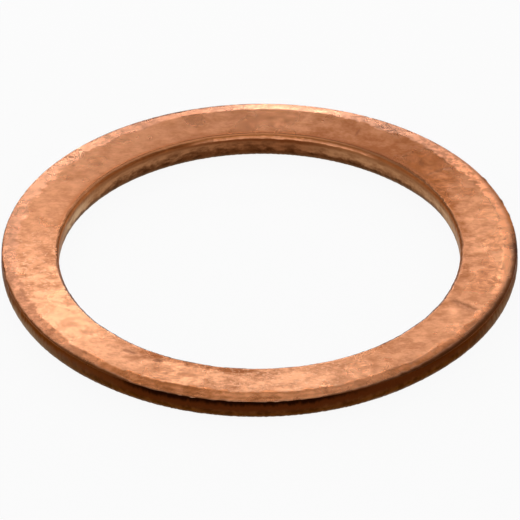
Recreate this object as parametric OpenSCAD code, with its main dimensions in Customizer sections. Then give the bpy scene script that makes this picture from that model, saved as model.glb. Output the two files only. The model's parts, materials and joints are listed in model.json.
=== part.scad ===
// Flat copper crush washer, blanked in one stroke from rolled sheet.
//
// One solid of revolution about Z. The lower sealing face lies on z = 0. The press
// tool rolled the edges of that face over, widely at the rim and less at the bore,
// and above the rolls both walls are straight sheared lands. The bore edge of the upper
// face is rounded, and its rim is pressed down to a shallow bevel.

/* [Ring] */
// Diameter of the bore at its sheared land
bore_d = 20.2; // [6:0.1:60]
// Radial width of the ring, from the bore to the outer wall
ring_w = 2.9; // [2:0.05:8]
// Thickness between the two sealing faces
thickness = 1.5; // [1.4:0.05:4]

/* [Upper face] */
// Radial width of the bevelled rim
rim_bevel_w = 0.65; // [0.2:0.05:1.5]
// Drop of the bevelled rim where it reaches the outer wall
rim_bevel_drop = 0.06; // [0.03:0.01:0.2]
// Radius of the corner between the bevelled rim and the outer wall
rim_corner_r = 0.06; // [0.02:0.01:0.15]
// Radius of the upper edge of the bore
bore_edge_r = 0.27; // [0.04:0.01:0.4]

/* [Lower face] */
// Radius of the roll-over from the lower face into the outer wall
rim_roll_r = 1.0; // [0.1:0.05:1.05]
// Radius of the roll-over from the lower face into the bore
bore_roll_r = 0.65; // [0.1:0.05:0.9]

/* [Look] */
// Colour of the bare copper
copper = "#d08a62"; // [#d08a62:Bright, #b06c46:Dull, #7a4526:Tarnished]

/* [Hidden] */
$fn = 96;
bore_r = bore_d / 2;
outer_r = bore_r + ring_w;
// Extra radius that makes a rounding arc cross its two edges, where it would only graze them
graze = 0.0001;

// Unit vector that points from one point of the section to another.
function toward(from, to) = (to - from) / norm(to - from);

// Half of the angle between the two edges that meet in a corner.
function half_angle(before, corner, after) =
    acos(toward(corner, before) * toward(corner, after)) / 2;

// Centre of the arc that rounds a corner and touches both of its edges.
function arc_centre(before, corner, after, radius) =
    let (
        bisector = toward(corner, before) + toward(corner, after),
        depth = radius / sin(half_angle(before, corner, after))
    )
    corner + bisector / norm(bisector) * depth;

// The metal to take off a sharp corner: a kite from the arc's centre, past the corner
// to the centre's mirror image in it, less the disc of the arc.
module corner_waste(before, corner, after, radius) {
    centre = arc_centre(before, corner, after, radius);
    along = radius / tan(half_angle(before, corner, after));
    first = corner + toward(corner, before) * along;
    last = corner + toward(corner, after) * along;
    mirrored = 2 * corner - centre;
    difference() {
        polygon([centre, first, mirrored, last]);
        translate(centre) circle(radius + graze);
    }
}

// Half section of the ring: X is the radius and Y the height.
module section() {
    lower_bore = [bore_r, 0];
    lower_rim = [outer_r, 0];
    rim_corner = [outer_r, thickness - rim_bevel_drop];
    bevel_start = [outer_r - rim_bevel_w, thickness];
    bore_edge = [bore_r, thickness];

    difference() {
        polygon([lower_bore, lower_rim, rim_corner, bevel_start, bore_edge]);
        corner_waste(bore_edge, lower_bore, lower_rim, bore_roll_r);
        corner_waste(lower_bore, lower_rim, rim_corner, rim_roll_r);
        corner_waste(lower_rim, rim_corner, bevel_start, rim_corner_r);
        corner_waste(bevel_start, bore_edge, lower_bore, bore_edge_r);
    }
}

// The whole washer: the section turned once round the bore axis.
module washer() {
    color(copper)
        rotate_extrude()
            section();
}

washer();
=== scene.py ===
"""Looks of a flat copper crush washer: its worn ring, with light and shade partly painted into its
colours, the pale floor, the lamps and the camera.

Lengths are in metres in the part's own frame: Z is the bore axis and the lower face lies on z = 0.
Azimuths run round Z from +X towards +Y, and the camera stands on the -Y side.
"""

import json
import math

import bpy
import numpy as np
from mathutils import Matrix, Vector


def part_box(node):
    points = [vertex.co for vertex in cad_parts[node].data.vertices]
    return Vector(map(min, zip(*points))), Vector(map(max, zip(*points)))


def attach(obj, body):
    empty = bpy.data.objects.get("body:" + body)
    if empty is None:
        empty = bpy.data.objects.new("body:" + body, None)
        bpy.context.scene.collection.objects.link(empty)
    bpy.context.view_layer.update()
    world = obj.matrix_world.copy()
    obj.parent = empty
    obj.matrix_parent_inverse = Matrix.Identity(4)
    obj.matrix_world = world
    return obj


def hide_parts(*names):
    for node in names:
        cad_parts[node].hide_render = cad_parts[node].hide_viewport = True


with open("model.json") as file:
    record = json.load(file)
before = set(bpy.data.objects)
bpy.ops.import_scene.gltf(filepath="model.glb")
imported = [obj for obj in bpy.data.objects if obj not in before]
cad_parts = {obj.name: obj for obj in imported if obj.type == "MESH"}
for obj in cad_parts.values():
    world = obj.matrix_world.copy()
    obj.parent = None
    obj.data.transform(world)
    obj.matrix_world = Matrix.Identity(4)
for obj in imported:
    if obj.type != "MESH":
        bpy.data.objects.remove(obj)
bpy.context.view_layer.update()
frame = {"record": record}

MM = 1e-3
MICRON = 1e-6
TURN = 2.0 * math.pi

# Ring, read from the frame
RING_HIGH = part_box("washer")[1]
OUTER_R = min(RING_HIGH.x, RING_HIGH.y)
THICKNESS = RING_HIGH.z
BORE_R = next(m["dims"]["r_mm"] for m in frame["record"]["mounts"] if m["name"] == "bore") * MM

# Section of the ring
RIM_BEVEL_W = 0.65 * MM
RIM_BEVEL_DROP = 0.06 * MM
RIM_CORNER_R = 0.06 * MM
BEVEL_BLEND_R = 0.8 * MM
BORE_EDGE_R = 0.27 * MM
RIM_ROLL_R = 1.0 * MM
BORE_ROLL_R = 0.65 * MM

# Grid of the ring's surface; the steps round the ring divide into equal strips for the bake
RING_STEPS = 1200
BAKE_STRIPS = 3
BAKE_MARGIN = 0.015

# Depths of the marks in the ring's surface
CHATTER_DEPTH = 1.0 * MICRON
DENT_DEPTH = 1.5 * MICRON
NICK_DEPTH = 9.0 * MICRON
WALL_TEAR_DEPTH = 3.5 * MICRON
WALL_PIT_DEPTH = 3.0 * MICRON
BORE_TEAR_DEPTH = 3.0 * MICRON
FACE_WAVE_DEPTH = 1.2 * MICRON
CREASE_DEPTH = 16.0 * MICRON
SCRATCH_DEPTH = 8.0 * MICRON
BACK_CREASE_DEPTH = 7.0 * MICRON
SPOT_DEPTH = 10.0 * MICRON
SPECK_DEPTH = 12.0 * MICRON
BURR_HEIGHT = 80.0 * MICRON

# Dents and nicks lie where a ripple is more than this many standard deviations below zero
DENT_START = 0.3
NICK_START = 0.6

# Width that the rounded-off rim is taken to have at least
LEAST_RIM_WIDTH = 0.02 * MM

# Middle of the roll-overs below the upper edges, and how far their extra wear reaches from it
ROLL_MIDDLE = 1.2 * MM
RIM_ROLL_REACH = 0.5 * MM
BORE_ROLL_REACH = 0.35 * MM

# Drawn lines on the front bevel: distance of the first from the rim, spacing and strength
FIRST_LINE = 0.1 * MM
LINE_SPACING = 0.3 * MM
LINE_STRENGTH = 0.16

# Brightness of the face and the bevel, strength of the grain, and darkening towards the bore,
# where no patch or stretch changes them
FACE_TONE = 0.48
BEVEL_TONE = 0.15
FACE_GRAIN = 0.8
BORE_SHADE = 0.10

# Depths of the bump in the finishes, and how far the streaks change the brightness
GRAIN_BUMP = 6.0 * MICRON
TEAR_BUMP = 5.0 * MICRON
STREAK_STRENGTH = 0.48

# Ranges of the roughness of the three finishes
FACE_ROUGHNESS = (0.26, 0.31)
WALL_ROUGHNESS = (0.30, 0.45)
BORE_ROUGHNESS = (0.32, 0.46)

# Range that most values of a noise lie in
NOISE_RANGE = (0.3, 0.7)

# Distances from the bore's edge, in millimetres, where a colour sets in and where it is full
FACE_EDGE = (0.16, 0.08)
FACE_GROOVE = (0.085, 0.03)
BORE_GROOVE = (-0.06, -0.01)
BORE_UPPER_EDGE = (-0.24, -0.06)
BORE_SHADED = (-0.44, -0.26)
BORE_LOWER = (-0.66, -0.95)
# Depth of the bright line below that edge, partly bare copper and partly painted highlight, in
# millimetres
BRIGHT_LINE_DEPTH = 0.12

# Distances from the worn rim, down the outer wall, given in the same way
WALL_SHADE_REACH = (-0.40, -0.13)
WALL_PALER = (-0.3, -0.7)
WALL_ROLLED = (-0.45, -0.75)

# Floor, just under the washer, with the share of plain white in how it is seen
FLOOR_HALF_SIDE = 1.5
FLOOR_LEVEL = -0.02 * MM
FLOOR_GREY = 0.86
FLOOR_WHITE_SHARE = 0.93

# Even light of the surroundings
SURROUNDINGS_STRENGTH = 0.34
WHITE = (1.0, 1.0, 1.0, 1.0)

# Camera, fitted to the outlines of the ring in the photograph
IMAGE_SIDE = 520
CAMERA_ELEVATION = 35.266
CAMERA_ROLL = 0.551
CAMERA_DISTANCE = 0.78
NEAREST_SEEN = 0.01
FARTHEST_SEEN = 10.0
SENSOR_WIDTH = 36.0
PIXELS_PER_METRE = 258.165 / 0.013
RING_CENTRE_PIXEL = (259.69, 273.71)

AZIMUTH = np.linspace(0.0, TURN, RING_STEPS, endpoint=False)
DEGREES = np.degrees(AZIMUTH)


def unit(vector):
    """Vector divided by its length."""
    return vector / np.linalg.norm(vector)


def rounded_outline(corners, radii, arc_steps, edge_steps):
    """Closed outline of a convex polygon with rounded corners, and the side that each step is on.

    A corner whose edges meet at twice the angle h gets an arc of radius r that touches both edges
    at r / tan(h) from the corner, about a centre on the bisector at r / sin(h). The arc is divided
    by equal turns, and the straight stretch from it to the next arc by equal lengths.
    Steps are numbered 2 k on the arc of corner k and 2 k + 1 on the edge that leaves it.
    """
    corners = np.array(corners)
    before = np.roll(corners, 1, axis=0)
    after = np.roll(corners, -1, axis=0)
    arcs = []
    for corner, last, following, radius, steps in zip(corners, before, after, radii, arc_steps):
        to_last = unit(last - corner)
        to_following = unit(following - corner)
        half = math.acos(float(to_last @ to_following)) / 2.0
        centre = corner + unit(to_last + to_following) * radius / math.sin(half)
        first = corner + to_last * radius / math.tan(half) - centre
        turns = math.atan2(first[1], first[0]) + np.linspace(0.0, math.pi - 2.0 * half, steps + 1)
        arcs.append(centre + radius * np.stack([np.cos(turns), np.sin(turns)], axis=1))
    points, sides = [], []
    for k, steps in enumerate(edge_steps):
        share = np.linspace(0.0, 1.0, steps + 1)[1:-1, None]
        following = arcs[(k + 1) % len(arcs)]
        points += [arcs[k], arcs[k][-1] * (1.0 - share) + following[0] * share]
        sides += [2 * k] * arc_steps[k] + [2 * k + 1] * steps
    return np.concatenate(points), np.array(sides)


SECTION, SIDES = rounded_outline(
    corners=[
        (BORE_R, 0.0),
        (OUTER_R, 0.0),
        (OUTER_R, THICKNESS - RIM_BEVEL_DROP),
        (OUTER_R - RIM_BEVEL_W, THICKNESS),
        (BORE_R, THICKNESS),
    ],
    radii=[BORE_ROLL_R, RIM_ROLL_R, RIM_CORNER_R, BEVEL_BLEND_R, BORE_EDGE_R],
    arc_steps=[7, 10, 6, 4, 10],
    edge_steps=[4, 5, 9, 20, 7],
)
# Numbers of the sides on the two walls and at their upper edges
BORE_ROLL, RIM_ROLL, OUTER_LAND, RIM_CORNER, BORE_EDGE, BORE_LAND = 0, 2, 3, 4, 8, 9
GRID = (RING_STEPS, len(SECTION))


def outline_normals(outline):
    """Outward normals of a closed outline: its central differences, turned clockwise by a quarter."""
    step = np.roll(outline, -1, axis=0) - np.roll(outline, 1, axis=0)
    normals = np.stack([step[:, 1], -step[:, 0]], axis=1)
    return normals / np.linalg.norm(normals, axis=1, keepdims=True)


def outline_lengths(outline):
    """Length of a closed outline up to each of its points, and its whole length."""
    steps = np.linalg.norm(np.roll(outline, -1, axis=0) - outline, axis=1)
    return np.concatenate([[0.0], np.cumsum(steps)[:-1]]), steps.sum()


def middle_of(side):
    """Number of the outline point in the middle of a side."""
    return int(np.flatnonzero(SIDES == side).mean().round())


def wrapped(length, whole):
    """Length along a closed line, moved by whole turns into half a turn either way."""
    return (length + whole / 2.0) % whole - whole / 2.0


SECTION_NORMALS = outline_normals(SECTION)
LENGTHS, OUTLINE_LENGTH = outline_lengths(SECTION)
# Both run up over the upper face from their edge and go below zero down their wall
FROM_RIM = wrapped(LENGTHS - LENGTHS[middle_of(RIM_CORNER)], OUTLINE_LENGTH)
FROM_BORE = wrapped(LENGTHS[middle_of(BORE_EDGE)] - LENGTHS, OUTLINE_LENGTH)
# One on the upper half of the section, and zero on the lower half
UPPER_SIDE = np.where(SECTION[:, 1] > THICKNESS / 2.0, 1.0, 0.0)
PLAN_X = np.cos(AZIMUTH)[:, None] * SECTION[:, 0]
PLAN_Y = np.sin(AZIMUTH)[:, None] * SECTION[:, 0]


def smooth(low, high, value):
    """Smooth step from 0 at low to 1 at high: 3 t^2 - 2 t^3 of the clipped share t."""
    t = np.clip((value - low) / (high - low), 0.0, 1.0)
    return t * t * (3.0 - 2.0 * t)


def bell(distance, reach):
    """Soft round weight: exp(-(distance / reach)^2)."""
    return np.exp(-((distance / reach) ** 2))


def ring_ripple(seed, lowest, highest):
    """Random wave round the ring, one value for each azimuth, with a standard deviation of one.

    It is the sum of cosines with every whole number of waves from lowest to highest, each at a
    random phase, so it closes on itself.
    """
    waves = np.arange(lowest, highest + 1)
    phases = np.random.default_rng(seed).uniform(0.0, TURN, waves.size)
    ripple = np.cos(np.outer(AZIMUTH, waves) + phases).sum(axis=1)
    return ripple / ripple.std()


def skin_ripple(seed, count, ring_waves, section_waves):
    """Random wave over the whole skin, one value for each grid point, with a standard deviation of one.

    It is a sum of plane waves in azimuth and section length. Each has a whole number of waves round
    the ring, up to ring_waves, and up to section_waves of them round the section, at a random phase.
    """
    draw = np.random.default_rng(seed)
    round_ring = draw.integers(-ring_waves, ring_waves + 1, count)
    round_section = draw.integers(-section_waves, section_waves + 1, count)
    phases = draw.uniform(0.0, TURN, count)
    turns = np.outer(AZIMUTH, round_ring) + phases
    section_turns = np.outer(LENGTHS * TURN / OUTLINE_LENGTH, round_section)
    ripple = np.cos(turns) @ np.cos(section_turns).T - np.sin(turns) @ np.sin(section_turns).T
    return ripple / ripple.std()


def blot(x, y, reach):
    """Weight of a round mark seen from above, at a place in millimetres."""
    return bell(np.hypot(PLAN_X - x * MM, PLAN_Y - y * MM), reach * MM)


def stroke(start, end, reach):
    """Weight of a straight mark seen from above: a bell of the distance to its nearest point."""
    start = np.array(start) * MM
    along = np.array(end) * MM - start
    share = ((PLAN_X - start[0]) * along[0] + (PLAN_Y - start[1]) * along[1]) / (along @ along)
    share = np.clip(share, 0.0, 1.0)
    off_x = PLAN_X - start[0] - share * along[0]
    off_y = PLAN_Y - start[1] - share * along[1]
    return bell(np.hypot(off_x, off_y), reach * MM)


def degrees_from(place):
    """Distance of each azimuth from a place round the ring, in degrees either way."""
    return np.degrees(wrapped(AZIMUTH - math.radians(place), TURN))


def arc_bump(place, reach):
    """Weight of a mark round the ring: a bell of the distance from its place, in degrees."""
    return bell(degrees_from(place), reach)


def arc_band(place, half, soft):
    """Weight of a stretch round the ring: full within half of its middle, gone a soft width later."""
    return smooth(half + soft, half, np.abs(degrees_from(place)))


def by_azimuth(*nodes):
    """Value for each azimuth, straight between nodes that are an azimuth in degrees and a value."""
    places, values = zip(*nodes)
    return np.interp(DEGREES, places, values)


def with_patches(base, patches):
    """Base value with the amount of each round patch added where the patch lies."""
    return base + sum(amount * blot(x, y, reach) for x, y, reach, amount in patches)


def with_stretches(base, stretches):
    """Base value with the amount of each stretch round the ring added where the stretch lies."""
    return base + sum(amount * arc_bump(place, reach) for place, reach, amount in stretches)


# Parts of the section that carry marks of their own
UPPER = smooth(0.0, 0.1 * MM, FROM_RIM) * smooth(0.0, 0.1 * MM, FROM_BORE)
ON_BEVEL = smooth(-0.02 * MM, 0.08 * MM, FROM_RIM) * smooth(0.85 * MM, 0.6 * MM, FROM_RIM)
ON_WALL = smooth(0.0, -0.06 * MM, FROM_RIM) * smooth(-2.3 * MM, -1.7 * MM, FROM_RIM)
ON_BORE = smooth(0.0, -0.08 * MM, FROM_BORE) * smooth(-2.0 * MM, -1.5 * MM, FROM_BORE)

# Stretches round the ring: azimuth of the middle, half width and width of the soft ends, in degrees
BACK_BEVEL = arc_band(92.0, 15.0, 14.0)
FRONT_RIGHT_CROWN = arc_band(331.0, 13.0, 11.0)
RIGHT_CROWN = arc_band(357.0, 7.0, 11.0)
NARROWER_RUB = arc_band(350.0, 32.0, 20.0)
DRAWN_FRONT = arc_band(268.0, 18.0, 16.0)
# Stretch where the painted shade of the lower bore reaches higher
HIGHER_DARK_BORE = arc_band(113.0, 19.0, 12.0)
# Stretch where painted reflection makes the bore paler
PALE_BORE_SIDE = arc_band(20.0, 40.0, 22.0)
SHADED_EDGE = arc_band(127.0, 12.0, 12.0)
# Bright stretch of the bore's edge at the back: partly painted highlight, partly bare copper
BARE_AND_LIT_EDGE = arc_band(82.0, 19.0, 11.0)
# Stretch where painted shade lies beside the bore's edge
SHADE_BY_BORE_EDGE = arc_band(98.0, 55.0, 25.0)
# Stretches that fade all the way from their middle: azimuth and reach, in degrees
SCUFFED_BEVEL = arc_bump(28.0, 20.0)
STAINED_BEVEL = arc_bump(38.0, 16.0)
# Painted shade along the front of the outer wall: it sets in over the first pair of degrees and ends
# over the second
PAINTED_SHADE_FRONT = smooth(225.0, 245.0, DEGREES) * smooth(300.0, 284.0, DEGREES)

# Width of the bevel from the rim to its inner edge, which wanders, but less at the back
BEVEL_WANDER = 0.028 * ring_ripple(seed=11, lowest=4, highest=40)
BEVEL_WANDER = BEVEL_WANDER + 0.014 * ring_ripple(seed=12, lowest=41, highest=160)
BEVEL_WANDER = BEVEL_WANDER * (1.0 - 0.6 * BACK_BEVEL)
BEVEL_WIDTH = RIM_BEVEL_W + MM * (0.05 - 0.09 * BACK_BEVEL + BEVEL_WANDER)
# Crown of the bevel, which is rounded over at the right and the front right
BEVEL_CROWN = MICRON * (15.0 * FRONT_RIGHT_CROWN + 8.0 * RIGHT_CROWN)
# Width of the rounded-off rim: little at the front and the back, most at the front right
ROUNDED_RIM = MM * by_azimuth(
    (0, 0.25), (8, 0.25), (20, 0.27), (35, 0.18), (55, 0.12), (75, 0.07), (88, 0.07),
    (97, 0.13), (108, 0.17), (125, 0.12), (136, 0.05), (150, 0.04), (170, 0.06), (197, 0.15),
    (215, 0.15), (228, 0.23), (236, 0.17), (241, 0.01), (280, 0.01), (290, 0.09), (300, 0.15),
    (315, 0.26), (330, 0.31), (340, 0.28), (350, 0.21), (360, 0.25),
)
ROUNDED_RIM = ROUNDED_RIM + 0.012 * MM * ring_ripple(seed=15, lowest=20, highest=140)
# Drop of the rounded-off rim as a share of its width
RIM_DROP = by_azimuth(
    (0, 0.12), (50, 0.10), (60, 0.0), (170, 0.0), (190, 0.30), (345, 0.30), (360, 0.12),
)
# Lightness of the painted shade on the rounded-off rim, which is darkest at the front
RIM_TONE = by_azimuth(
    (0, 0.0), (4, 0.35), (8, 0.70), (12, 0.80), (16, 0.60), (20, 0.40), (26, 0.45), (40, 0.30),
    (60, 0.16), (90, 0.15), (100, 0.0), (130, 0.0), (150, 0.20), (180, 0.40), (200, 0.45),
    (215, 0.30), (230, 0.20), (242, 0.0), (315, 0.0), (330, 0.10), (340, 0.18), (350, 0.28),
    (356, 0.20), (360, 0.0),
)
# Brightness of the bore's rounded edge: painted light, bright at the back and shaded at the front
EDGE_TONE = by_azimuth(
    (0, 0.35), (30, 0.40), (45, 0.42), (60, 0.65), (75, 0.95), (105, 1.0), (120, 1.0),
    (145, 0.95), (165, 0.80), (180, 0.50), (195, 0.0), (330, 0.0), (345, 0.20), (360, 0.35),
)
# Tint of the bevel, from golden at the front to cream at the back, where the cream is painted
# reflection of the light behind
BEVEL_TINT = by_azimuth(
    (0, 0.30), (30, 0.35), (42, 0.65), (55, 1.0), (95, 1.0), (108, 0.70), (120, 0.85),
    (135, 0.95), (180, 0.95), (205, 0.75), (222, 0.45), (235, 0.0), (272, 0.0), (292, 0.30),
    (308, 0.05), (320, 0.30), (335, 0.45), (345, 0.40), (360, 0.30),
)
# Softness of the bevel's inner edge
BEVEL_SOFTNESS = by_azimuth(
    (0, 1.8), (14, 1.0), (120, 1.0), (150, 2.2), (185, 2.2), (215, 1.0), (290, 1.0),
    (310, 2.4), (335, 2.0), (360, 1.8),
)

# Patches of the upper face that are brighter or duller, partly painted highlight and shade and partly
# the copper's own uneven tone: place, reach and amount
TONE_PATCHES = [
    (11.4, 0.6, 2.0, 0.10),
    (10.8, 2.9, 0.7, 0.12),
    (10.4, 4.4, 2.4, -0.08),
    (8.4, 7.8, 3.2, -0.40),
    (4.4, 10.4, 3.0, -0.29),
    (-2.6, 11.0, 3.4, -0.18),
    (-8.5, 7.5, 3.8, -0.09),
    (-10.2, -5.2, 3.6, 0.415),
    (-4.2, -10.6, 3.0, 0.16),
    (1.8, -11.4, 2.4, 0.37),
    (6.6, -9.3, 2.0, -0.09),
    (11.2, -3.0, 2.2, -0.11),
    (9.65, -5.55, 0.3, 0.45),
    (9.83, -6.63, 0.2, 0.35),
    (-6.2, -8.8, 0.9, -0.13),
    (-8.4, -8.0, 1.2, 0.09),
    (-6.9, -9.5, 0.7, 0.22),
    (-5.2, -9.0, 0.8, -0.20),
    (-8.0, -6.8, 0.8, -0.16),
    (-12.1, -1.2, 0.8, -0.18),
    (12.1, 0.5, 0.7, -0.20),
    (10.9, -1.5, 0.7, -0.14),
]
# Patches where the rolling grain is stronger or fainter, and where painted glints show: as above
GRAIN_PATCHES = [
    (-10.6, -3.5, 4.5, 1.15),
    (-1.0, -11.3, 5.5, 1.15),
    (11.2, 0.0, 4.5, 0.50),
    (7.5, 8.8, 4.0, -0.30),
    (-4.5, 10.7, 3.0, -0.25),
]
GLINT_PATCHES = [
    (1.5, -11.3, 4.5, 1.0),
    (-9.5, -5.5, 3.5, 0.9),
    (-11.4, -0.5, 2.5, 0.9),
]
# Stretches where the face darkens towards the bore: azimuth, reach in degrees and amount
BORE_SHADES = [(20.0, 26.0, 0.21), (258.0, 20.0, 0.50)]
# Stretches of the bevel that are brighter or duller, partly painted highlight and partly rubbed: as
# above
BEVEL_STRETCHES = [
    (351.0, 9.0, 0.95),
    (6.0, 13.0, 0.72),
    (18.0, 9.0, 0.36),
    (29.0, 9.0, 0.52),
    (84.0, 15.0, 0.26),
    (111.0, 9.0, -0.35),
    (148.0, 24.0, 0.76),
    (222.0, 13.0, 0.26),
    (262.0, 8.0, 0.20),
    (286.0, 14.0, 0.62),
]
# Stretches of the bore and of the outer wall that are paler by painted reflection: as above
PALE_BORE = [(20.0, 14.0, 0.45), (112.0, 12.0, 0.20), (136.0, 24.0, 0.72), (160.0, 14.0, 1.35)]
PALE_WALL = [(200.0, 16.0, 1.0), (343.0, 12.0, 0.55)]
# Stretches where the roll-overs are worn deeper: as above, with the amount in millimetres
DEEP_RIM_ROLL = [(314.0, 21.0, 0.065), (232.0, 16.0, 0.030)]
DEEP_BORE_ROLL = [(29.0, 15.0, 0.060)]

# Single marks in the upper face, and three small burrs at the right of the rim
CREASE = stroke((9.80, -4.70), (10.75, -5.45), 0.15)
SCRATCH = stroke((4.93, 9.96), (5.15, 10.5), 0.05)
BACK_CREASES = stroke((8.26, 7.95), (8.25, 7.35), 0.09) + stroke((8.6, 6.5), (9.2, 6.95), 0.10)
BACK_CREASES = np.maximum(BACK_CREASES, stroke((9.2, 6.95), (10.0, 7.15), 0.08))
SPOTS = stroke((-6.75, -8.6), (-6.3, -8.85), 0.11) + stroke((-5.2, -9.5), (-4.95, -9.6), 0.10)
SPOTS = SPOTS + blot(-9.4, 7.56, 0.10)
RIM_SPECKS = blot(-9.54, 8.31, 0.10) + blot(-9.04, 8.92, 0.09) + blot(12.82, 0.05, 0.22)
BURRS = arc_bump(28.0, 1.1) + 0.8 * arc_bump(18.8, 0.9) + 0.6 * arc_bump(13.4, 0.8)


def rounded_edges():
    """Lift of the worn edges along the section's normals.

    The rim drops by the square of the share that is left of its rounded-off width. The bevel is
    crowned by 4 s (1 - s) of the share s across it. Bells round the ring and across the section
    take more off the roll-overs of the rim and the bore.
    """
    width = np.maximum(ROUNDED_RIM, LEAST_RIM_WIDTH)[:, None]
    left = np.maximum(1.0 - np.maximum(FROM_RIM, 0.0) / width, 0.0)
    drop = (RIM_DROP * np.maximum(ROUNDED_RIM, 0.0))[:, None] * left ** 2
    drop = drop * smooth(-0.5 * MM, -0.05 * MM, FROM_RIM)
    on_rim_roll = bell(FROM_RIM + ROLL_MIDDLE, RIM_ROLL_REACH)
    on_bore_roll = bell(FROM_BORE + ROLL_MIDDLE, BORE_ROLL_REACH)
    rim_roll = np.outer(with_stretches(0.0, DEEP_RIM_ROLL), on_rim_roll)
    bore_roll = np.outer(with_stretches(0.0, DEEP_BORE_ROLL), on_bore_roll)
    share = np.clip(1.0 - FROM_RIM / BEVEL_WIDTH[:, None], 0.0, 1.0)
    share = share * smooth(-0.02 * MM, 0.0, FROM_RIM)
    crown = BEVEL_CROWN[:, None] * 4.0 * share * (1.0 - share)
    return crown - drop - MM * (rim_roll + bore_roll)


def marks():
    """Lift of the small marks along the section's normals.

    It sums tool chatter and dents on the bevel, nicks in the rim's corner, tears down the walls,
    waves, creases and pits in the face, and the burrs on the outer wall.
    """
    chatter = np.outer(ring_ripple(seed=21, lowest=12, highest=90), ON_BEVEL) * CHATTER_DEPTH
    bumpy = skin_ripple(seed=22, count=260, ring_waves=90, section_waves=14)
    dents = np.minimum(bumpy + DENT_START, 0.0) * ON_BEVEL * DENT_DEPTH
    nicked = np.minimum(ring_ripple(seed=23, lowest=40, highest=260) + NICK_START, 0.0)
    nicks = np.outer(nicked, bell(FROM_RIM, 0.07 * MM)) * NICK_DEPTH
    tears = np.outer(ring_ripple(seed=24, lowest=60, highest=420), ON_WALL) * WALL_TEAR_DEPTH
    pitted = skin_ripple(seed=25, count=240, ring_waves=260, section_waves=10)
    rough_wall = pitted * ON_WALL * WALL_PIT_DEPTH
    bore_tears = np.outer(ring_ripple(seed=26, lowest=40, highest=300), ON_BORE) * BORE_TEAR_DEPTH
    waves = skin_ripple(seed=27, count=200, ring_waves=40, section_waves=8)
    waves = (waves - waves.max()) * UPPER * FACE_WAVE_DEPTH
    pits = CREASE_DEPTH * CREASE + SCRATCH_DEPTH * SCRATCH + BACK_CREASE_DEPTH * BACK_CREASES
    pits = (pits + SPOT_DEPTH * SPOTS + SPECK_DEPTH * RIM_SPECKS) * UPPER
    burrs = np.outer(BURRS, bell(FROM_RIM + 0.15 * MM, 0.16 * MM)) * BURR_HEIGHT
    return chatter + dents + nicks + tears + rough_wall + bore_tears + waves - pits + burrs


def worn_section():
    """Radius and height of every point of the skin, on the grid of azimuth and section.

    The sound section is first sheared along itself where the bevel's inner edge and the bore's edge
    wander, and then moved along its normals by the worn edges and the marks. The outer wall stays
    within its sound radius but for the burrs, and the height stays between the two sealing faces.
    """
    bevel_edge = bell(FROM_RIM - RIM_BEVEL_W, 0.25 * MM)
    bore_wander = 0.010 * MM * ring_ripple(seed=13, lowest=3, highest=50)
    bore_wander = bore_wander + 0.006 * MM * ring_ripple(seed=14, lowest=60, highest=220)
    bore_edge = bell(FROM_BORE, 0.12 * MM)
    radius = SECTION[:, 0] + np.outer(RIM_BEVEL_W - BEVEL_WIDTH, bevel_edge)
    radius = radius + np.outer(bore_wander, bore_edge)
    lift = rounded_edges() + marks()
    radius = radius + SECTION_NORMALS[:, 0] * lift
    height = SECTION[:, 1] + SECTION_NORMALS[:, 1] * lift
    radius = np.where(BURRS[:, None] > 0.01, radius, np.minimum(radius, OUTER_R))
    return radius, np.clip(height, 0.0, THICKNESS)


def ring_quads():
    """Corner numbers of the grid's quads, which close round the ring and round the section."""
    ring, row = np.meshgrid(np.arange(RING_STEPS), np.arange(len(SECTION)), indexing="ij")
    next_ring = (ring + 1) % RING_STEPS
    next_row = (row + 1) % len(SECTION)
    corners = [(ring, row), (next_ring, row), (next_ring, next_row), (ring, next_row)]
    return np.stack([a * len(SECTION) + b for a, b in corners], axis=-1).reshape(-1, 4)


def bake_map():
    """Places of the quads' corners in the bake: the ring unrolled in equal strips, side by side."""
    ring, row = np.meshgrid(np.arange(RING_STEPS), np.arange(len(SECTION)), indexing="ij")
    strip = ring * BAKE_STRIPS // RING_STEPS
    ends = np.append(LENGTHS, OUTLINE_LENGTH) / OUTLINE_LENGTH
    keep = 1.0 - 2.0 * BAKE_MARGIN
    corners = []
    for ring_step, row_step in ((0, 0), (1, 0), (1, 1), (0, 1)):
        across = (strip + BAKE_MARGIN + keep * ends[row + row_step]) / BAKE_STRIPS
        up = BAKE_MARGIN + keep * ((ring + ring_step) * BAKE_STRIPS / RING_STEPS - strip)
        corners.append(np.stack([across, up], axis=-1))
    return np.stack(corners, axis=2).reshape(-1)


FACE_FINISH, WALL_FINISH, BORE_FINISH = 0, 1, 2


def finish_of_steps():
    """Number of the finish on each step of the section; it changes in the middle of the upper edges."""
    steps = np.arange(len(SIDES))
    on_wall = np.isin(SIDES, (RIM_ROLL, OUTER_LAND))
    on_wall |= (SIDES == RIM_CORNER) & (steps < middle_of(RIM_CORNER))
    on_bore = np.isin(SIDES, (BORE_LAND, BORE_ROLL))
    on_bore |= (SIDES == BORE_EDGE) & (steps >= middle_of(BORE_EDGE))
    return np.where(on_wall, WALL_FINISH, np.where(on_bore, BORE_FINISH, FACE_FINISH))


def rim_wear_and_shade():
    """Maps of the rim: distance from its worn edge, painted shade on the rounded-off rim and how light
    it is, and painted shade on the wall below it.

    The share of painted shade is a smooth step of the depth inside the rounded-off width.
    """
    blend = 0.06 * MM + 0.45 * np.maximum(ROUNDED_RIM, 0.0)
    depth = (ROUNDED_RIM[:, None] - FROM_RIM) / blend[:, None]
    burr_stain = np.clip(np.outer(BURRS, bell(FROM_RIM - 0.02 * MM, 0.16 * MM)), 0.0, 1.0)
    return {
        "from_rim": (FROM_RIM - ROUNDED_RIM[:, None]) / MM,
        "rim_dark": np.maximum(smooth(-1.0, 1.0, depth), burr_stain) * UPPER_SIDE,
        "rim_tone": RIM_TONE[:, None] * (1.0 - 0.8 * burr_stain),
        "wall_shade": PAINTED_SHADE_FRONT[:, None],
    }


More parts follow.
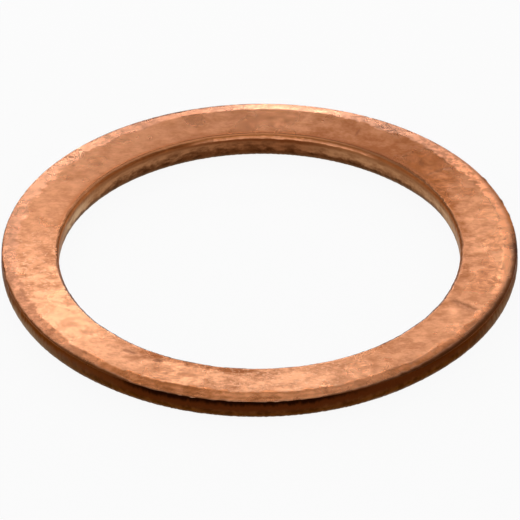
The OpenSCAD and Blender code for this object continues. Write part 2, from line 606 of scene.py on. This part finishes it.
def bevel_wear_and_light():
    """Maps of the bevel: depth inside its inner edge, brightness with drawn lines and painted
    highlight, tint with painted reflection, and scuffs.

    The drawn lines are a cosine of the distance from the rim, along the front only.
    """
    rubbed_width = BEVEL_WIDTH - 0.055 * MM * NARROWER_RUB
    from_bevel = (rubbed_width[:, None] - FROM_RIM) / MM / BEVEL_SOFTNESS[:, None]
    lines = np.cos(TURN * (FROM_RIM - FIRST_LINE) / LINE_SPACING)
    tone = with_stretches(BEVEL_TONE, BEVEL_STRETCHES)[:, None]
    return {
        "from_bevel": np.where(UPPER_SIDE > 0.5, from_bevel, -1.0),
        "bevel_tone": tone + LINE_STRENGTH * np.outer(DRAWN_FRONT, lines),
        "bevel_tint": BEVEL_TINT[:, None],
        "scuffed": SCUFFED_BEVEL[:, None],
    }


def face_wear_and_light():
    """Maps of the face: brightness with patches of painted highlight and shade, strength of the grain,
    painted glints, and stains in its marks.

    A broken stain also runs along the bevel's inner edge at the back right.
    """
    near_bore = smooth(0.80 * MM, 0.15 * MM, FROM_BORE) * UPPER_SIDE
    shade = np.outer(with_stretches(BORE_SHADE, BORE_SHADES), near_bore)
    stain = 0.9 * SPOTS + 0.8 * RIM_SPECKS + 0.8 * SCRATCH + 0.5 * BACK_CREASES + 0.35 * CREASE
    boundary = bell(BEVEL_WIDTH[:, None] + 0.05 * MM - FROM_RIM, 0.09 * MM)
    broken = STAINED_BEVEL * smooth(-0.6, 0.8, ring_ripple(seed=31, lowest=20, highest=120))
    stain = stain + 0.75 * boundary * broken[:, None]
    return {
        "tone": with_patches(FACE_TONE, TONE_PATCHES) - shade,
        "grain": with_patches(FACE_GRAIN, GRAIN_PATCHES),
        "speckle": np.clip(with_patches(0.0, GLINT_PATCHES), 0.0, 1.0),
        "stain": np.clip(stain, 0.0, 1.0) * UPPER,
        "upper_side": UPPER_SIDE,
    }


def bore_wear_and_light():
    """Maps of the bore: distance from its edge, paler stretches of painted reflection, the edge's line
    and painted light, and painted shade beside the edge.

    At the back left the distance is lengthened by a bell, which raises the painted shade of the lower
    part of the bore, and the edge turns darker towards the bore.
    map with those of the bore.
    """
    lower_dark = np.outer(HIGHER_DARK_BORE, bell(FROM_BORE + 0.55 * MM, 0.2 * MM))
    outside = np.where(FROM_BORE > FROM_RIM, 1.0, 0.0)
    pale_bore = with_stretches(PALE_BORE_SIDE, PALE_BORE)
    pale_wall = with_stretches(0.0, PALE_WALL)
    shaded_edge = np.outer(SHADED_EDGE, smooth(0.08 * MM, -0.05 * MM, FROM_BORE))
    bore_edge_shade = smooth(0.34 * MM, 0.24 * MM, FROM_BORE) * smooth(0.10 * MM, 0.16 * MM, FROM_BORE)
    return {
        "from_bore": FROM_BORE / MM - 0.2 * lower_dark,
        "pale": np.outer(pale_bore, 1.0 - outside) + np.outer(pale_wall, outside),
        "edge_line": BARE_AND_LIT_EDGE[:, None],
        "edge_tone": EDGE_TONE[:, None] * (1.0 - 0.95 * shaded_edge),
        "bore_edge_shade": np.outer(SHADE_BY_BORE_EDGE, bore_edge_shade),
    }


def make_washer(materials):
    """The worn ring as one closed mesh: its section carried round Z, with the finishes and maps.

    A point at azimuth a lies at (radius cos a, radius sin a, height).
    """
    radius, height = worn_section()
    across = np.cos(AZIMUTH)[:, None] * radius
    away = np.sin(AZIMUTH)[:, None] * radius
    points = np.stack([across, away, height], axis=-1)
    quads = ring_quads()
    mesh = bpy.data.meshes.new("washer_skin")
    mesh.vertices.add(radius.size)
    mesh.vertices.foreach_set("co", points.astype(np.float32).ravel())
    mesh.loops.add(quads.size)
    mesh.loops.foreach_set("vertex_index", quads.ravel().astype(np.int32))
    mesh.polygons.add(len(quads))
    mesh.polygons.foreach_set("loop_start", np.arange(0, quads.size, 4, dtype=np.int32))
    mesh.polygons.foreach_set("loop_total", np.full(len(quads), 4, dtype=np.int32))
    for material in materials:
        mesh.materials.append(material)
    finishes = np.tile(finish_of_steps(), RING_STEPS).astype(np.int32)
    mesh.polygons.foreach_set("material_index", finishes)
    mesh.polygons.foreach_set("use_smooth", np.ones(len(quads), dtype=bool))

    skin_maps = {**rim_wear_and_shade(), **bevel_wear_and_light(), **face_wear_and_light(), **bore_wear_and_light()}
    for name, values in skin_maps.items():
        attribute = mesh.attributes.new(name, "FLOAT", "POINT")
        attribute.data.foreach_set("value", np.broadcast_to(values, GRID).astype(np.float32).ravel())
    mesh.uv_layers.new(name="OFBake").data.foreach_set("uv", bake_map().astype(np.float32))
    mesh.update(calc_edges=True)
    mesh.validate()
    washer = bpy.data.objects.new("washer_ring", mesh)
    bpy.context.scene.collection.objects.link(washer)
    return washer


def put(tree, kind, inputs=None, **settings):
    """New node in a tree; each input is a socket to link from or a value to set."""
    made = tree.nodes.new(kind)
    for name, value in settings.items():
        setattr(made, name, value)
    for name, value in (inputs or {}).items():
        if isinstance(value, bpy.types.NodeSocket):
            tree.links.new(value, made.inputs[name])
        else:
            made.inputs[name].default_value = value
    return made


def sums(tree, operation, first, second):
    """One arithmetic step on two values."""
    return put(tree, "ShaderNodeMath", {0: first, 1: second}, operation=operation).outputs[0]


def times(tree, first, second):
    """Product of two values."""
    return sums(tree, "MULTIPLY", first, second)


def span(tree, value, low, high, start=0.0, end=1.0):
    """Value taken smoothly from the range low to high into the range start to end."""
    ends = {"Value": value, "From Min": low, "From Max": high, "To Min": start, "To Max": end}
    return put(tree, "ShaderNodeMapRange", ends, interpolation_type="SMOOTHSTEP").outputs["Result"]


def blend_colours(tree, share, first, second):
    """Colour that goes from the first to the second as the share goes from 0 to 1."""
    made = put(tree, "ShaderNodeMix", {"Factor": share}, data_type="RGBA")
    for socket, value in ((made.inputs[6], first), (made.inputs[7], second)):
        if isinstance(value, bpy.types.NodeSocket):
            tree.links.new(value, socket)
        else:
            socket.default_value = (*value, 1.0)
    return made.outputs[2]


def noise(tree, vector, scale, detail, roughness):
    """Fractal noise value of a place, with the scale in features per metre."""
    inputs = {"Vector": vector, "Scale": scale, "Detail": detail, "Roughness": roughness}
    return put(tree, "ShaderNodeTexNoise", inputs).outputs["Fac"]


def stretched(tree, vector, scale):
    """Place scaled by axis."""
    return put(tree, "ShaderNodeMapping", {"Vector": vector, "Scale": scale}).outputs["Vector"]


def new_group(name, inputs, outputs):
    """Shader node group with named sockets, and its input and output nodes."""
    group = bpy.data.node_groups.new(name, "ShaderNodeTree")
    for socket, kind, value in inputs:
        made = group.interface.new_socket(socket, in_out="INPUT", socket_type=kind)
        if value is not None:
            made.default_value = value
    for socket in outputs:
        group.interface.new_socket(socket, in_out="OUTPUT", socket_type="NodeSocketFloat")
    return group, group.nodes.new("NodeGroupInput").outputs, group.nodes.new("NodeGroupOutput").inputs


def rolling_grain_group():
    """Marks of the rolling mill: wavy streaks along X in all sizes, and a fine mask for painted glints.
    """
    group, given, wanted = new_group(
        "rolling_grain",
        [("Place", "NodeSocketVector", None)],
        ["Streak", "Glint", "Relief"],
    )
    along = stretched(group, given["Place"], (0.7, 1.0, 1.0))
    streak = noise(group, along, scale=1800.0, detail=4.0, roughness=0.72)
    streak = span(group, streak, 0.28, 0.72)
    fine = noise(group, along, scale=9000.0, detail=2.0, roughness=0.6)
    relief = sums(group, "ADD", streak, times(group, fine, 0.2))
    group.links.new(streak, wanted["Streak"])
    group.links.new(span(group, fine, 0.55, 0.70), wanted["Glint"])
    group.links.new(relief, wanted["Relief"])
    return group


def tarnish_group():
    """Clouds of handling tarnish: broad ones of a few millimetres and small ragged ones."""
    group, given, wanted = new_group(
        "tarnish",
        [("Place", "NodeSocketVector", None)],
        ["Broad", "Ragged"],
    )
    broad = noise(group, given["Place"], scale=330.0, detail=3.0, roughness=0.55)
    ragged = noise(group, given["Place"], scale=2100.0, detail=4.0, roughness=0.65)
    group.links.new(span(group, broad, 0.35, 0.65), wanted["Broad"])
    group.links.new(span(group, ragged, 0.36, 0.64), wanted["Ragged"])
    return group


def edge_wear_group():
    """Bare metal on an edge: full at the edge, gone at a width that wanders, and broken by gaps."""
    group, given, wanted = new_group(
        "edge_wear",
        [
            ("Place", "NodeSocketVector", None),
            ("Distance", "NodeSocketFloat", 0.0),
            ("Width", "NodeSocketFloat", 0.05),
            ("Gaps", "NodeSocketFloat", 0.4),
        ],
        ["Bare"],
    )
    size = put(group, "ShaderNodeMath", {0: given["Distance"]}, operation="ABSOLUTE").outputs[0]
    wander = noise(group, given["Place"], scale=1500.0, detail=3.0, roughness=0.6)
    wander = span(group, wander, *NOISE_RANGE, 0.35, 1.5)
    reach = sums(group, "DIVIDE", size, times(group, wander, given["Width"]))
    near = span(group, reach, 1.0, 0.35)
    whole = noise(group, given["Place"], scale=2600.0, detail=2.0, roughness=0.5)
    whole = span(group, whole, 0.40, 0.55)
    gaps = times(group, sums(group, "SUBTRACT", 1.0, whole), given["Gaps"])
    kept = sums(group, "SUBTRACT", 1.0, gaps)
    group.links.new(times(group, near, kept), wanted["Bare"])
    return group


GRAIN = rolling_grain_group()
TARNISH = tarnish_group()
EDGE_WEAR = edge_wear_group()


def new_material(name):
    """Material with a metal shader of its own, its node tree and its place on the piece."""
    material = bpy.data.materials.new(name)
    material.use_nodes = True
    tree = material.node_tree
    shader = tree.nodes["Principled BSDF"]
    shader.inputs["Metallic"].default_value = 1.0
    place = put(tree, "ShaderNodeTexCoord").outputs["Object"]
    return material, tree, shader, place


def read(tree, name):
    """Value of one of the ring's own attributes; distances among them are in millimetres."""
    return put(tree, "ShaderNodeAttribute", attribute_name=name).outputs["Fac"]


def use_group(tree, group, inputs):
    """Outputs of a node group that is placed in a material with its own values."""
    return put(tree, "ShaderNodeGroup", inputs, node_tree=group).outputs


def finish_surface(tree, shader, colour, roughness, relief, depth):
    """Wires a finish to its shader, with the relief as a bump of that depth in metres."""
    bump = put(tree, "ShaderNodeBump", {"Height": relief, "Strength": 1.0, "Distance": depth})
    tree.links.new(colour, shader.inputs["Base Color"])
    tree.links.new(roughness, shader.inputs["Roughness"])
    tree.links.new(bump.outputs["Normal"], shader.inputs["Normal"])


# Colours of the rolled face, its bevel and the rounded edges of its rim and bore
FACE_DULL = (0.285, 0.083, 0.020)
FACE_BRIGHT = (0.88, 0.400, 0.207)
# Painted glints on the face
FACE_GLINT = (0.94, 0.53, 0.33)
# Bevel colours: the creams are painted reflection of the light behind, and the bright ones partly
# painted highlight
BEVEL_DULL_GOLD = (0.53, 0.165, 0.046)
BEVEL_DULL_CREAM = (0.375, 0.157, 0.083)
BEVEL_BRIGHT_GOLD = (1.0, 0.39, 0.165)
BEVEL_BRIGHT_CREAM = (1.0, 0.45, 0.25)
# Bore edge, from painted shade at the front to painted light at the back
EDGE_DARK = (0.16, 0.055, 0.022)
EDGE_LIT = (1.0, 0.40, 0.17)
EDGE_GROOVE = (0.40, 0.11, 0.022)
# Painted shade beside the bore's edge
EDGE_SHADE_DARK = (0.24, 0.074, 0.025)
EDGE_SHADE_LIGHT = (0.73, 0.248, 0.093)
STAIN = (0.20, 0.06, 0.022)
RIM_BARE = (0.90, 0.42, 0.24)
# Painted shade on the rounded-off rim, from near-black to brown
RIM_BLACK = (0.10, 0.026, 0.006)
RIM_BROWN = (0.60, 0.17, 0.025)

# Colours of the outer wall: the near-black and dark browns are painted shade, the lit brown is painted
# light, and the pale colour is painted reflection
WALL_SHEEN = (0.66, 0.54, 0.46, 1.0)
LAND_BLACK = (0.05, 0.009, 0.0015)
LAND_BROWN = (0.09, 0.020, 0.004)
LAND_LIT_BROWN = (0.22, 0.06, 0.012)
ROLL_BLACK = (0.048, 0.012, 0.003)
ROLL_BROWN = (0.10, 0.030, 0.008)
WALL_PALE = (0.31, 0.21, 0.135)
WALL_SHADE_BLACK = (0.012, 0.0022, 0.0003)
WALL_EDGE_BARE = (0.80, 0.40, 0.24)

# Colours of the bore: the beiges and the palest colour are painted reflection, the lower and shade
# colours are painted shade, and the bright colours of the edge are partly painted light
BORE_SHEEN = (0.85, 0.72, 0.60, 1.0)
BORE_DARK_BROWN = (0.12, 0.037, 0.012)
BORE_BROWN = (0.28, 0.098, 0.036)
BORE_DARK_BEIGE = (0.24, 0.095, 0.038)
BORE_BEIGE = (0.46, 0.22, 0.10)
BORE_PALEST = (0.62, 0.42, 0.26)
BORE_LOWER_BLACK = (0.05, 0.012, 0.002)
BORE_LOWER_BROWN = (0.11, 0.034, 0.010)
BORE_SHADE_BROWN = (0.14, 0.036, 0.009)
BORE_SHADE_BEIGE = (0.26, 0.10, 0.038)
BORE_EDGE_DULL = (0.28, 0.08, 0.020)
BORE_EDGE_BRIGHT = (0.56, 0.18, 0.055)
BORE_EDGE_LINE = (0.80, 0.30, 0.12)
BORE_EDGE_BARE_AND_LIT = (1.0, 0.43, 0.22)


def streaked_copper(tree, grain, uneven):
    """Colour of the open face: patches, partly painted highlight and shade, and streaks between dull
    and bright, with painted glints.
    """
    tone = sums(tree, "ADD", read(tree, "tone"), uneven)
    colour = blend_colours(tree, tone, FACE_DULL, FACE_BRIGHT)
    # Painted glints, where the speckle map allows them
    glints = times(tree, grain["Glint"], span(tree, read(tree, "speckle"), 0.0, 1.0, 0.05, 0.6))
    return blend_colours(tree, glints, colour, FACE_GLINT)


def lit_and_rubbed_bevel(tree, ragged, scuffed, uneven):
    """Colour of the bevel: dull to bright by its stretches, partly painted highlight, and by its lines
    and streaks, with ragged scuffs; its cream tint is painted reflection.
    """
    patches = span(tree, ragged, 0.0, 1.0, -0.14, 0.14)
    patches = times(tree, patches, span(tree, scuffed, 0.0, 1.0, 1.0, 3.0))
    tone = sums(tree, "ADD", read(tree, "bevel_tone"), sums(tree, "ADD", patches, uneven))
    tint = read(tree, "bevel_tint")
    dull = blend_colours(tree, tint, BEVEL_DULL_GOLD, BEVEL_DULL_CREAM)
    bright = blend_colours(tree, tint, BEVEL_BRIGHT_GOLD, BEVEL_BRIGHT_CREAM)
    return blend_colours(tree, tone, dull, bright)


def with_bore_edge(tree, colour, ragged):
    """Colour with the bore's rounded edge in painted light and shade, the groove in it and painted
    shade beside it laid over.
    """
    from_bore = read(tree, "from_bore")
    edge = blend_colours(tree, read(tree, "edge_tone"), EDGE_DARK, EDGE_LIT)
    groove = times(tree, read(tree, "edge_line"), span(tree, from_bore, *FACE_GROOVE, end=0.55))
    edge = blend_colours(tree, groove, edge, EDGE_GROOVE)
    on_edge = times(tree, span(tree, from_bore, *FACE_EDGE), read(tree, "upper_side"))
    colour = blend_colours(tree, on_edge, colour, edge)
    # Painted shade beside the bore's edge, lighter where the face's tone is
    shade_colour = blend_colours(tree, read(tree, "tone"), EDGE_SHADE_DARK, EDGE_SHADE_LIGHT)
    bore_edge_shade = times(tree, read(tree, "bore_edge_shade"), span(tree, ragged, 0.0, 1.0, 0.8, 1.0))
    return blend_colours(tree, bore_edge_shade, colour, shade_colour)


def with_worn_and_shaded_rim(tree, colour, place):
    """Colour with bare spots along the rim's worn edge and painted shade on the rounded-off rim beyond
    it laid over.
    """
    inputs = {"Place": place, "Distance": read(tree, "from_rim"), "Width": 0.10, "Gaps": 0.5}
    skin_maps = use_group(tree, EDGE_WEAR, inputs)
    colour = blend_colours(tree, times(tree, skin_maps["Bare"], 0.5), colour, RIM_BARE)
    # Painted shade on the rounded-off rim
    rim = blend_colours(tree, read(tree, "rim_tone"), RIM_BLACK, RIM_BROWN)
    return blend_colours(tree, read(tree, "rim_dark"), colour, rim)


def rolled_face():
    """Satin rolled copper: streaked and clouded, with patches of painted highlight and shade, painted
    glints, dark spots, and a rubbed bevel with painted highlight.
    """
    material, tree, shader, place = new_material("rolled_face")
    grain = use_group(tree, GRAIN, {"Place": place})
    tarnish = use_group(tree, TARNISH, {"Place": place})
    ragged = tarnish["Ragged"]
    strength = read(tree, "grain")
    uneven = times(tree, sums(tree, "SUBTRACT", grain["Streak"], 0.5), strength)
    uneven = times(tree, uneven, STREAK_STRENGTH)
    from_bevel = read(tree, "from_bevel")
    scuffed = read(tree, "scuffed")
    bevel_depth = sums(tree, "ADD", from_bevel, span(tree, ragged, 0.0, 1.0, -0.06, 0.06))
    on_bevel = span(tree, bevel_depth, -0.07, 0.07)

    colour = streaked_copper(tree, grain, uneven)
    colour = blend_colours(tree, on_bevel, colour, lit_and_rubbed_bevel(tree, ragged, scuffed, uneven))
    colour = with_bore_edge(tree, colour, ragged)
    stain = times(tree, read(tree, "stain"), span(tree, ragged, 0.0, 1.0, 0.7, 1.0))
    colour = blend_colours(tree, stain, colour, STAIN)
    colour = with_worn_and_shaded_rim(tree, colour, place)

    scuffs = times(tree, on_bevel, span(tree, scuffed, 0.0, 1.0, -0.015, 0.11))
    roughness = sums(tree, "ADD", span(tree, tarnish["Broad"], 0.0, 1.0, *FACE_ROUGHNESS), scuffs)
    relief = sums(tree, "SUBTRACT", grain["Relief"], 0.6)
    relief = times(tree, relief, span(tree, from_bevel, -0.25, 0.20, 1.0, 0.35))
    relief = times(tree, relief, span(tree, strength, 0.4, 1.5, 0.4, 1.0))
    finish_surface(tree, shader, colour, roughness, relief, GRAIN_BUMP)
    return material


def sheared_wall():
    """Outer wall in painted shade: near-black under the rim, browner where it rolled over, and paler at
    its two ends by painted reflection.
    """
    material, tree, shader, place = new_material("sheared_wall")
    shader.inputs["Specular Tint"].default_value = WALL_SHEEN
    tarnish = use_group(tree, TARNISH, {"Place": place})
    from_rim = read(tree, "from_rim")
    upright = stretched(tree, place, (1.0, 1.0, 0.3))
    tears = noise(tree, upright, scale=4200.0, detail=3.0, roughness=0.6)
    depth = sums(tree, "ADD", from_rim, span(tree, tears, *NOISE_RANGE, -0.07, 0.07))

    # Painted shade: the land and the roll are near-black to dark brown, lighter where the rim's painted
    # shade is
    land = blend_colours(tree, tears, LAND_BLACK, LAND_BROWN)
    land = blend_colours(tree, read(tree, "rim_tone"), land, LAND_LIT_BROWN)
    roll = blend_colours(tree, tarnish["Ragged"], ROLL_BLACK, ROLL_BROWN)
    colour = blend_colours(tree, span(tree, depth, *WALL_ROLLED), land, roll)
    # Painted reflection: the wall is paler at its two ends
    pale = times(tree, read(tree, "pale"), span(tree, depth, *WALL_PALER))
    colour = blend_colours(tree, times(tree, pale, 0.8), colour, WALL_PALE)
    # Painted shade: near-black along the front of the wall
    wall_shade = times(tree, span(tree, depth, *WALL_SHADE_REACH), read(tree, "wall_shade"))
    colour = blend_colours(tree, wall_shade, colour, WALL_SHADE_BLACK)
    inputs = {"Place": place, "Distance": from_rim, "Width": 0.03, "Gaps": 0.7}
    skin_maps = use_group(tree, EDGE_WEAR, inputs)
    colour = blend_colours(tree, times(tree, skin_maps["Bare"], 0.8), colour, WALL_EDGE_BARE)

    roughness = span(tree, tears, *NOISE_RANGE, *WALL_ROUGHNESS)
    finish_surface(tree, shader, colour, roughness, tears, TEAR_BUMP)
    return material


def sheared_bore():
    """Bore wall: dull brown copper, paler at the sides by painted reflection, and dark below and just
    under its upper edge by painted shade.
    """
    material, tree, shader, place = new_material("sheared_bore")
    shader.inputs["Specular Tint"].default_value = BORE_SHEEN
    tarnish = use_group(tree, TARNISH, {"Place": place})
    from_bore = read(tree, "from_bore")
    pale = read(tree, "pale")
    edge_line = read(tree, "edge_line")
    level = stretched(tree, place, (1.0, 1.0, 2.2))
    tears = noise(tree, level, scale=1500.0, detail=4.0, roughness=0.65)
    uneven = span(tree, tears, *NOISE_RANGE)
    depth = sums(tree, "ADD", from_bore, span(tree, tears, *NOISE_RANGE, -0.08, 0.08))

    brown = blend_colours(tree, uneven, BORE_DARK_BROWN, BORE_BROWN)
    beige = blend_colours(tree, uneven, BORE_DARK_BEIGE, BORE_BEIGE)
    # Painted reflection: the bore is paler at the sides
    colour = blend_colours(tree, pale, brown, beige)
    palest = times(tree, span(tree, pale, 0.95, 1.8), span(tree, uneven, 0.1, 0.8, 0.4, 1.0))
    colour = blend_colours(tree, palest, colour, BORE_PALEST)
    # Painted shade on the lower part of the bore
    lower = blend_colours(tree, tarnish["Ragged"], BORE_LOWER_BLACK, BORE_LOWER_BROWN)
    colour = blend_colours(tree, span(tree, depth, *BORE_LOWER), colour, lower)
    shade = blend_colours(tree, pale, BORE_SHADE_BROWN, BORE_SHADE_BEIGE)
    colour = blend_colours(tree, span(tree, depth, *BORE_SHADED), colour, shade)

    # Painted light on the upper edge: bright at the back, dull at the front, with a bright line that is
    # partly painted highlight and partly bare copper
    edge = blend_colours(tree, read(tree, "edge_tone"), BORE_EDGE_DULL, BORE_EDGE_BRIGHT)
    edge = blend_colours(tree, edge_line, edge, BORE_EDGE_LINE)
    groove = times(tree, edge_line, span(tree, from_bore, *BORE_GROOVE, end=0.65))
    edge = blend_colours(tree, groove, edge, EDGE_GROOVE)
    colour = blend_colours(tree, span(tree, from_bore, *BORE_UPPER_EDGE), colour, edge)
    line = sums(tree, "ADD", from_bore, BRIGHT_LINE_DEPTH)
    inputs = {"Place": place, "Distance": line, "Width": 0.075, "Gaps": 0.4}
    skin_maps = use_group(tree, EDGE_WEAR, inputs)
    colour = blend_colours(tree, times(tree, skin_maps["Bare"], edge_line), colour, BORE_EDGE_BARE_AND_LIT)

    roughness = span(tree, tears, *NOISE_RANGE, *BORE_ROUGHNESS)
    finish_surface(tree, shader, colour, roughness, tears, TEAR_BUMP)
    return material


def pale_floor():
    """White matt floor: it keeps a soft shadow, is seen and mirrored white, and is clear from below."""
    material = bpy.data.materials.new("pale_floor")
    material.use_nodes = True
    tree = material.node_tree
    tree.nodes.clear()
    matt = put(tree, "ShaderNodeBsdfDiffuse", {"Color": (FLOOR_GREY, FLOOR_GREY, FLOOR_GREY, 1.0)})
    glow = put(tree, "ShaderNodeEmission", {"Color": WHITE, "Strength": 1.0})
    path = put(tree, "ShaderNodeLightPath").outputs
    seen = sums(tree, "MAXIMUM", path["Is Camera Ray"], path["Is Glossy Ray"])
    seen = sums(tree, "MAXIMUM", seen, path["Is Transmission Ray"])
    share = times(tree, seen, FLOOR_WHITE_SHARE)
    both = put(tree, "ShaderNodeMixShader", {0: share, 1: matt.outputs[0], 2: glow.outputs[0]})
    below = put(tree, "ShaderNodeNewGeometry").outputs["Backfacing"]
    clear = put(tree, "ShaderNodeBsdfTransparent", {"Color": WHITE})
    sheet = put(tree, "ShaderNodeMixShader", {0: below, 1: both.outputs[0], 2: clear.outputs[0]})
    put(tree, "ShaderNodeOutputMaterial", {"Surface": sheet.outputs[0]})
    return material


def make_floor():
    """Flat square floor under the washer."""
    half = FLOOR_HALF_SIDE
    corners = [(-half, -half), (half, -half), (half, half), (-half, half)]
    mesh = bpy.data.meshes.new("floor_sheet")
    mesh.from_pydata([(x, y, FLOOR_LEVEL) for x, y in corners], [], [(0, 1, 2, 3)])
    mesh.materials.append(pale_floor())
    floor = bpy.data.objects.new("floor", mesh)
    bpy.context.scene.collection.objects.link(floor)
    return floor


def add_lamp(name, place, width, height, power):
    """Soft rectangular lamp, with its place and size in millimetres, turned to face the washer."""
    data = bpy.data.lights.new(name, "AREA")
    data.shape = "RECTANGLE"
    data.size = width * MM
    data.size_y = height * MM
    data.energy = power
    lamp = bpy.data.objects.new(name, data)
    lamp.location = Vector(place) * MM
    lamp.rotation_euler = (-lamp.location).to_track_quat("-Z", "Y").to_euler()
    lamp.visible_camera = False
    bpy.context.scene.collection.objects.link(lamp)


def light_the_set():
    """Even pale surroundings and eight soft lamps.

    The key lamp and a low strip stand behind, where the upper face mirrors them. A fill, a low strip
    and a panel stand in front for the outer wall, and panels at both sides and above light the rest.
    """
    world = bpy.data.worlds.new("surroundings")
    world.use_nodes = True
    background = world.node_tree.nodes["Background"]
    background.inputs["Color"].default_value = WHITE
    background.inputs["Strength"].default_value = SURROUNDINGS_STRENGTH
    bpy.context.scene.world = world
    add_lamp("key_lamp", place=(-4.0, 45.0, 37.0), width=40.0, height=7.0, power=0.0028)
    add_lamp("low_strip", place=(-2.0, 90.0, 30.0), width=80.0, height=5.0, power=0.0140)
    add_lamp("front_fill", place=(0.0, -70.0, 70.0), width=50.0, height=20.0, power=0.006)
    add_lamp("front_strip", place=(0.0, -90.0, 12.0), width=90.0, height=5.0, power=0.0016)
    add_lamp("front_panel", place=(0.0, -110.0, 45.0), width=90.0, height=50.0, power=0.0030)
    add_lamp("left_panel", place=(-110.0, 0.0, 45.0), width=90.0, height=60.0, power=0.0100)
    add_lamp("right_panel", place=(110.0, 0.0, 45.0), width=90.0, height=60.0, power=0.0100)
    add_lamp("top_panel", place=(0.0, 0.0, 120.0), width=80.0, height=80.0, power=0.0040)


def add_camera():
    """Camera on the -Y side, aimed so that the ring's centre falls on its pixel, and rolled."""
    elevation = math.radians(CAMERA_ELEVATION)
    backward = Vector((0.0, -math.cos(elevation), math.sin(elevation)))
    level_right = Vector((1.0, 0.0, 0.0))
    roll = Matrix.Rotation(-math.radians(CAMERA_ROLL), 3, backward)
    right = roll @ level_right
    up = roll @ backward.cross(level_right)
    middle = IMAGE_SIDE / 2.0
    aim = right * (middle - RING_CENTRE_PIXEL[0]) + up * (RING_CENTRE_PIXEL[1] - middle)
    data = bpy.data.cameras.new("photo_camera")
    data.sensor_width = SENSOR_WIDTH
    data.lens = SENSOR_WIDTH * CAMERA_DISTANCE * PIXELS_PER_METRE / IMAGE_SIDE
    data.clip_start = NEAREST_SEEN
    data.clip_end = FARTHEST_SEEN
    camera = bpy.data.objects.new("photo_camera", data)
    turn = Matrix((right, up, backward)).transposed().to_4x4()
    place = aim / PIXELS_PER_METRE + backward * CAMERA_DISTANCE
    camera.matrix_world = Matrix.Translation(place) @ turn
    bpy.context.scene.collection.objects.link(camera)
    bpy.context.scene.camera = camera


washer = make_washer([rolled_face(), sheared_wall(), sheared_bore()])
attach(washer, "root")
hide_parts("washer")
make_floor()
light_the_set()
add_camera()
bpy.context.scene.view_settings.view_transform = "Standard"
